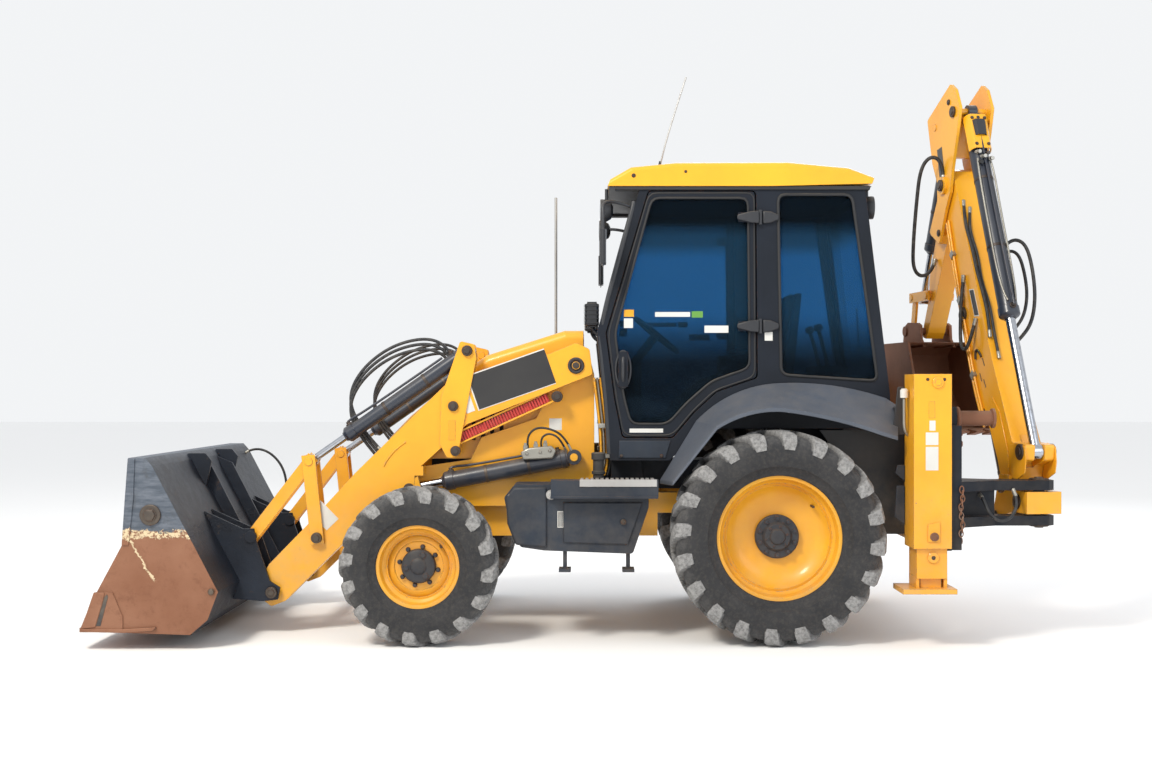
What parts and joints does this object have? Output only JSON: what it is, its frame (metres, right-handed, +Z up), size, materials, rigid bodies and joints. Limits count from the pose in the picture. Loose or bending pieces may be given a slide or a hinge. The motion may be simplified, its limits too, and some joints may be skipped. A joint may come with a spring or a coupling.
{
  "type": "backhoe loader",
  "caption": "Yellow sideshift backhoe loader with a front loading shovel, glazed cab and a folded rear digger; steering, rams, doors, bonnet and legs move.",
  "frame": {"origin": "on the ground, under the middle of the machine's overall length and width", "axes": "+X to the rear, +Y to the machine's right, +Z up; the loader shovel is at -X"},
  "size_m": [5.9066, 2.393, 3.6377],
  "materials": {
    "yellow_paint": "satin, worn",
    "dark_paint": "satin",
    "grey_paint": "satin, dusty",
    "rim_yellow": "dusty",
    "rusty_steel": "rusty, scuffed",
    "cast_dark": "cast",
    "chrome_rod": "polished",
    "tyre_rubber": "dusty",
    "black_plastic": "matte",
    "grey_plastic": "matte, faded",
    "tinted_glass": "tinted",
    "seat_cloth": "woven",
    "lamp_plastic": "gloss",
    "mast_steel": "dull"
  },
  "bodies": {
    "chassis": {"chassis_frame": "yellow_paint", "engine_block": "cast_dark", "axles": "cast_dark", "nose": "black_plastic", "side_tanks": "grey_plastic", "cab_frame": "dark_paint", "cab_roof": "yellow_paint", "cab_glass": "tinted_glass", "fenders": "grey_plastic", "seat": "seat_cloth", "console": "black_plastic", "mast": "mast_steel", "lamps": "lamp_plastic", "rear_frame": "yellow_paint"},
    "bonnet": {"bonnet": "yellow_paint"},
    "loader_arms": {"loader_arms": "yellow_paint"},
    "tilt_levers": {"tilt_levers": "yellow_paint"},
    "tilt_links": {"tilt_links": "rusty_steel"},
    "loader_bucket": {"loader_bucket": "rusty_steel"},
    "lift_ram_barrels": {"lift_ram_barrels": "dark_paint"},
    "lift_ram_rods": {"lift_ram_rods": "chrome_rod"},
    "tilt_ram_barrels": {"tilt_ram_barrels": "dark_paint"},
    "tilt_ram_rods": {"tilt_ram_rods": "chrome_rod"},
    "knuckle_left": {"knuckle_left": "cast_dark"},
    "door_left": {"door_left": "dark_paint", "door_glass_left": "tinted_glass"},
    "stabiliser_leg_left": {"stabiliser_leg_left": "rusty_steel"},
    "knuckle_right": {"knuckle_right": "cast_dark"},
    "door_right": {"door_right": "dark_paint", "door_glass_right": "tinted_glass"},
    "stabiliser_leg_right": {"stabiliser_leg_right": "rusty_steel"},
    "wheel_rear_left": {"tyre_rear_left": "tyre_rubber", "rim_rear_left": "rim_yellow"},
    "wheel_rear_right": {"tyre_rear_right": "tyre_rubber", "rim_rear_right": "rim_yellow"},
    "wheel_front_left": {"tyre_front_left": "tyre_rubber", "rim_front_left": "rim_yellow"},
    "wheel_front_right": {"tyre_front_right": "tyre_rubber", "rim_front_right": "rim_yellow"},
    "carriage": {"carriage": "dark_paint"},
    "kingpost": {"kingpost": "cast_dark"},
    "boom": {"boom": "yellow_paint"},
    "dipper": {"dipper": "yellow_paint"},
    "digger_bucket": {"digger_bucket": "rusty_steel"},
    "tipping_lever": {"tipping_lever": "rusty_steel"},
    "tipping_link": {"tipping_link": "rusty_steel"},
    "boom_ram_barrel": {"boom_ram_barrel": "dark_paint"},
    "boom_ram_rod": {"boom_ram_rod": "chrome_rod"},
    "dipper_ram_barrel": {"dipper_ram_barrel": "dark_paint"},
    "dipper_ram_rod": {"dipper_ram_rod": "chrome_rod"},
    "bucket_ram_barrel": {"bucket_ram_barrel": "dark_paint"},
    "bucket_ram_rod": {"bucket_ram_rod": "chrome_rod"}
  },
  "joints": [
    {"name": "rear_wheel_left", "type": "hinge", "parent": "chassis", "child": "wheel_rear_left", "pos_m": [1.178, -0.915, 0.65], "axis": [0, 1, 0], "continuous": true},
    {"name": "front_wheel_left", "type": "hinge", "parent": "knuckle_left", "child": "wheel_front_left", "pos_m": [-0.992, -0.97, 0.48], "axis": [0, 1, 0], "continuous": true},
    {"name": "rear_wheel_right", "type": "hinge", "parent": "chassis", "child": "wheel_rear_right", "pos_m": [1.178, 0.915, 0.65], "axis": [0, 1, 0], "continuous": true},
    {"name": "front_wheel_right", "type": "hinge", "parent": "knuckle_right", "child": "wheel_front_right", "pos_m": [-0.992, 0.97, 0.48], "axis": [0, 1, 0], "continuous": true},
    {"name": "steer_left", "type": "hinge", "parent": "chassis", "child": "knuckle_left", "pos_m": [-0.992, -0.775, 0.48], "axis": [0, 0, 1], "range_deg": [-30, 30]},
    {"name": "steer_right", "type": "hinge", "parent": "chassis", "child": "knuckle_right", "pos_m": [-0.992, 0.775, 0.48], "axis": [0, 0, 1], "range_deg": [-30, 30]},
    {"name": "door_left", "type": "hinge", "parent": "chassis", "child": "door_left", "pos_m": [1.103, -0.721, 1.6], "axis": [0, 0, 1], "range_deg": [0, 80]},
    {"name": "door_right", "type": "hinge", "parent": "chassis", "child": "door_right", "pos_m": [1.103, 0.721, 1.6], "axis": [0, 0, -1], "range_deg": [0, 80]},
    {"name": "bonnet", "type": "hinge", "parent": "chassis", "child": "bonnet", "pos_m": [-0.017, 0, 1.9], "axis": [0, 1, 0], "range_deg": [0, 50]},
    {"name": "loader_lift", "type": "hinge", "parent": "chassis", "child": "loader_arms", "pos_m": [-0.048, 0, 1.696], "axis": [0, 1, 0], "range_deg": [0, 80]},
    {"name": "lift_ram_swing", "type": "hinge", "parent": "chassis", "child": "lift_ram_barrels", "pos_m": [-0.061, 0, 1.116], "axis": [0, -1, 0], "range_deg": [-68.98, 0.5]},
    {"name": "lift_ram_stroke", "type": "slide", "parent": "lift_ram_barrels", "child": "lift_ram_rods", "axis": [-0.9826, 0, -0.1859], "range_m": [-0.002, 0.69584]},
    {"name": "loader_tilt", "type": "hinge", "parent": "loader_arms", "child": "loader_bucket", "pos_m": [-1.959, 0, 0.271], "axis": [0, -1, 0], "range_deg": [-25, 110]},
    {"name": "tilt_lever", "type": "hinge", "parent": "loader_arms", "child": "tilt_levers", "pos_m": [-1.68, 0, 0.611], "axis": [0, -1, 0], "range_deg": [-19.5, 84.11]},
    {"name": "tilt_link", "type": "hinge", "parent": "tilt_levers", "child": "tilt_links", "pos_m": [-1.731, 0, 1.09], "axis": [0, -1, 0], "range_deg": [-54.2, 12.7]},
    {"name": "tilt_ram_swing", "type": "hinge", "parent": "loader_arms", "child": "tilt_ram_barrels", "pos_m": [-0.734, 0, 1.789], "axis": [0, -1, 0], "range_deg": [-1.51, 4.93]},
    {"name": "tilt_ram_stroke", "type": "slide", "parent": "tilt_ram_barrels", "child": "tilt_ram_rods", "axis": [-0.8188, 0, -0.5741], "range_m": [-0.14556, 0.63365]},
    {"name": "sideshift", "type": "slide", "parent": "chassis", "child": "carriage", "axis": [0, 1, 0], "range_m": [0, 1.72]},
    {"name": "slew", "type": "hinge", "parent": "carriage", "child": "kingpost", "pos_m": [2.798, -0.86, 0.8], "axis": [0, 0, -1], "range_deg": [0, 180]},
    {"name": "boom", "type": "hinge", "parent": "kingpost", "child": "boom", "pos_m": [2.76358, -0.64271, 0.94], "axis": [-0.9877, -0.1564, 0], "range_deg": [0, 95]},
    {"name": "boom_ram_swing", "type": "hinge", "parent": "kingpost", "child": "boom_ram_barrel", "pos_m": [2.74794, -0.54394, 0.74], "axis": [0.9877, 0.1564, 0], "range_deg": [-97.71, 0.5]},
    {"name": "boom_ram_stroke", "type": "slide", "parent": "boom_ram_barrel", "child": "boom_ram_rod", "axis": [-0.062, 0.3912, 0.9182], "range_m": [-0.32816, 0.002]},
    {"name": "dipper", "type": "hinge", "parent": "boom", "child": "dipper", "pos_m": [2.6181, 0.27584, 2.96], "axis": [0.9877, 0.1564, 0], "range_deg": [0, 110]},
    {"name": "dipper_ram_swing", "type": "hinge", "parent": "dipper", "child": "dipper_ram_barrel", "pos_m": [2.64391, 0.11287, 3.44], "axis": [0.9877, 0.1564, 0], "range_deg": [-113.77, 0.5]},
    {"name": "dipper_ram_stroke", "type": "slide", "parent": "dipper_ram_barrel", "child": "dipper_ram_rod", "axis": [0.0599, -0.3782, -0.9238], "range_m": [-0.82555, 0.002]},
    {"name": "digger_bucket", "type": "hinge", "parent": "dipper", "child": "digger_bucket", "pos_m": [2.54267, 0.75211, 1.97133], "axis": [0.9877, 0.1564, 0], "range_deg": [-25, 90]},
    {"name": "tipping_lever", "type": "hinge", "parent": "dipper", "child": "tipping_lever", "pos_m": [2.55837, 0.65297, 2.22277], "axis": [0.9877, 0.1564, 0], "range_deg": [-13.44, 47.09]},
    {"name": "tipping_link", "type": "hinge", "parent": "tipping_lever", "child": "tipping_link", "pos_m": [2.51569, 0.92241, 2.22231], "axis": [0.9877, 0.1564, 0], "range_deg": [-80.2, 22.64]},
    {"name": "bucket_ram_swing", "type": "hinge", "parent": "dipper", "child": "bucket_ram_barrel", "pos_m": [2.59463, 0.42403, 3.38921], "axis": [0.9877, 0.1564, 0], "range_deg": [-0.51, 0.54]},
    {"name": "bucket_ram_stroke", "type": "slide", "parent": "bucket_ram_barrel", "child": "bucket_ram_rod", "axis": [-0.0621, 0.392, -0.9179], "range_m": [-0.21779, 0.06194]},
    {"name": "stabiliser_left", "type": "slide", "parent": "chassis", "child": "stabiliser_leg_left", "axis": [0, 0, -1], "range_m": [0, 0.42]},
    {"name": "stabiliser_right", "type": "slide", "parent": "chassis", "child": "stabiliser_leg_right", "axis": [0, 0, -1], "range_m": [0, 0.42]}
  ],
  "couplings": [
    {"joint": "steer_right", "follows": "steer_left", "ratio": 1},
    {"joint": "lift_ram_swing", "follows": "loader_lift", "ratio": -0.85601},
    {"joint": "lift_ram_stroke", "follows": "loader_lift", "m_per_rad": 0.49693},
    {"joint": "tilt_lever", "follows": "loader_tilt", "ratio": 0.76009},
    {"joint": "tilt_link", "follows": "loader_tilt", "ratio": -0.48818},
    {"joint": "tilt_ram_swing", "follows": "loader_tilt", "ratio": 0.040264},
    {"joint": "tilt_ram_stroke", "follows": "loader_tilt", "m_per_rad": 0.32901},
    {"joint": "boom_ram_swing", "follows": "boom", "ratio": -1.0233},
    {"joint": "boom_ram_stroke", "follows": "boom", "m_per_rad": -0.19671},
    {"joint": "dipper_ram_swing", "follows": "dipper", "ratio": -1.0298},
    {"joint": "dipper_ram_stroke", "follows": "dipper", "m_per_rad": -0.42896},
    {"joint": "tipping_lever", "follows": "digger_bucket", "ratio": 0.51772},
    {"joint": "tipping_link", "follows": "digger_bucket", "ratio": -0.88556},
    {"joint": "bucket_ram_swing", "follows": "digger_bucket", "ratio": 0.000417},
    {"joint": "bucket_ram_stroke", "follows": "digger_bucket", "m_per_rad": -0.13738}
  ]
}
